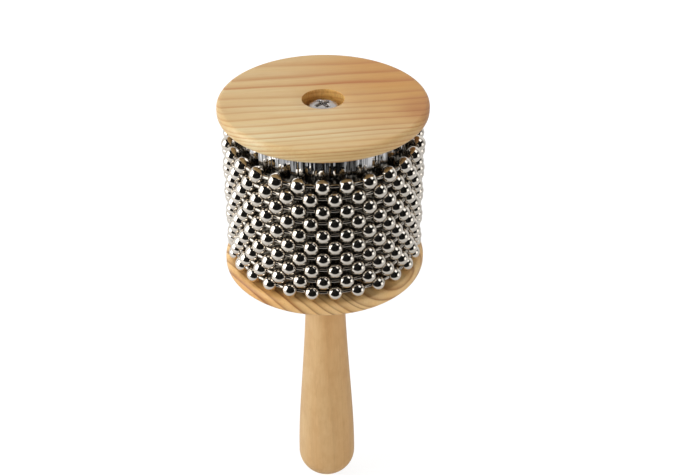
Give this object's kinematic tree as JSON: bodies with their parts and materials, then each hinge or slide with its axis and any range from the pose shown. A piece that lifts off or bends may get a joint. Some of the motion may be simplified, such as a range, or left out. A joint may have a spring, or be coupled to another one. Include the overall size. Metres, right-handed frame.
{
  "type": "cabasa",
  "caption": "Hand percussion cabasa: nested loops of steel ball chain turn around a fluted steel drum held between wooden discs on a turned wooden handle.",
  "frame": {"origin": "on the common axis of the handle, discs and loops, in the middle of the hand grip, 45 mm from the rounded end of the handle", "axes": "+Z along the axis from the handle to the top disc; -Y faces the viewer of the picture; +X is to the viewer's right"},
  "size_m": [0.07, 0.07, 0.167],
  "materials": {
    "pine_disc": "sanded pine, clear satin lacquer",
    "handle_wood": "turned, smooth, clear satin lacquer",
    "core_wood": "plain turned softwood, hidden",
    "sleeve_steel": "bright rolled sheet with upright flutes",
    "ball_nickel": "polished nickel plate on steel",
    "pin_nickel": "polished nickel plate on steel",
    "screw_steel": "bright zinc plate"
  },
  "bodies": {
    "frame": {"handle": "handle_wood", "bottom_disc": "pine_disc", "drum_core": "core_wood", "drum_sleeve": "sleeve_steel", "top_disc": "pine_disc", "centre_screw": "screw_steel"},
    "bead_loop_01": {"bead_loop_01_balls": "ball_nickel", "bead_loop_01_pins": "pin_nickel"},
    "bead_loop_02": {"bead_loop_02_balls": "ball_nickel", "bead_loop_02_pins": "pin_nickel"},
    "bead_loop_03": {"bead_loop_03_balls": "ball_nickel", "bead_loop_03_pins": "pin_nickel"},
    "bead_loop_04": {"bead_loop_04_balls": "ball_nickel", "bead_loop_04_pins": "pin_nickel"},
    "bead_loop_05": {"bead_loop_05_balls": "ball_nickel", "bead_loop_05_pins": "pin_nickel"},
    "bead_loop_06": {"bead_loop_06_balls": "ball_nickel", "bead_loop_06_pins": "pin_nickel"},
    "bead_loop_07": {"bead_loop_07_balls": "ball_nickel", "bead_loop_07_pins": "pin_nickel"},
    "bead_loop_08": {"bead_loop_08_balls": "ball_nickel", "bead_loop_08_pins": "pin_nickel"},
    "bead_loop_09": {"bead_loop_09_balls": "ball_nickel", "bead_loop_09_pins": "pin_nickel"},
    "bead_loop_10": {"bead_loop_10_balls": "ball_nickel", "bead_loop_10_pins": "pin_nickel"}
  },
  "joints": [
    {"name": "bead_loop_01_turn", "type": "hinge", "parent": "frame", "child": "bead_loop_01", "pos_m": [0, 0, 0.10737], "axis": [0, 0, 1], "continuous": true},
    {"name": "bead_loop_02_turn", "type": "hinge", "parent": "frame", "child": "bead_loop_02", "pos_m": [0, 0, 0.10281], "axis": [0, 0, 1], "continuous": true},
    {"name": "bead_loop_03_turn", "type": "hinge", "parent": "frame", "child": "bead_loop_03", "pos_m": [0, 0, 0.09825], "axis": [0, 0, 1], "continuous": true},
    {"name": "bead_loop_04_turn", "type": "hinge", "parent": "frame", "child": "bead_loop_04", "pos_m": [0, 0, 0.09368], "axis": [0, 0, 1], "continuous": true},
    {"name": "bead_loop_05_turn", "type": "hinge", "parent": "frame", "child": "bead_loop_05", "pos_m": [0, 0, 0.08912], "axis": [0, 0, 1], "continuous": true},
    {"name": "bead_loop_06_turn", "type": "hinge", "parent": "frame", "child": "bead_loop_06", "pos_m": [0, 0, 0.08456], "axis": [0, 0, 1], "continuous": true},
    {"name": "bead_loop_07_turn", "type": "hinge", "parent": "frame", "child": "bead_loop_07", "pos_m": [0, 0, 0.07999], "axis": [0, 0, 1], "continuous": true},
    {"name": "bead_loop_08_turn", "type": "hinge", "parent": "frame", "child": "bead_loop_08", "pos_m": [0, 0, 0.07543], "axis": [0, 0, 1], "continuous": true},
    {"name": "bead_loop_09_turn", "type": "hinge", "parent": "frame", "child": "bead_loop_09", "pos_m": [0, 0, 0.07086], "axis": [0, 0, 1], "continuous": true},
    {"name": "bead_loop_10_turn", "type": "hinge", "parent": "frame", "child": "bead_loop_10", "pos_m": [0, 0, 0.0663], "axis": [0, 0, 1], "continuous": true}
  ],
  "couplings": [
    {"joint": "bead_loop_02_turn", "follows": "bead_loop_01_turn", "ratio": 1},
    {"joint": "bead_loop_03_turn", "follows": "bead_loop_01_turn", "ratio": 1},
    {"joint": "bead_loop_04_turn", "follows": "bead_loop_01_turn", "ratio": 1},
    {"joint": "bead_loop_05_turn", "follows": "bead_loop_01_turn", "ratio": 1},
    {"joint": "bead_loop_06_turn", "follows": "bead_loop_01_turn", "ratio": 1},
    {"joint": "bead_loop_07_turn", "follows": "bead_loop_01_turn", "ratio": 1},
    {"joint": "bead_loop_08_turn", "follows": "bead_loop_01_turn", "ratio": 1},
    {"joint": "bead_loop_09_turn", "follows": "bead_loop_01_turn", "ratio": 1},
    {"joint": "bead_loop_10_turn", "follows": "bead_loop_01_turn", "ratio": 1}
  ]
}
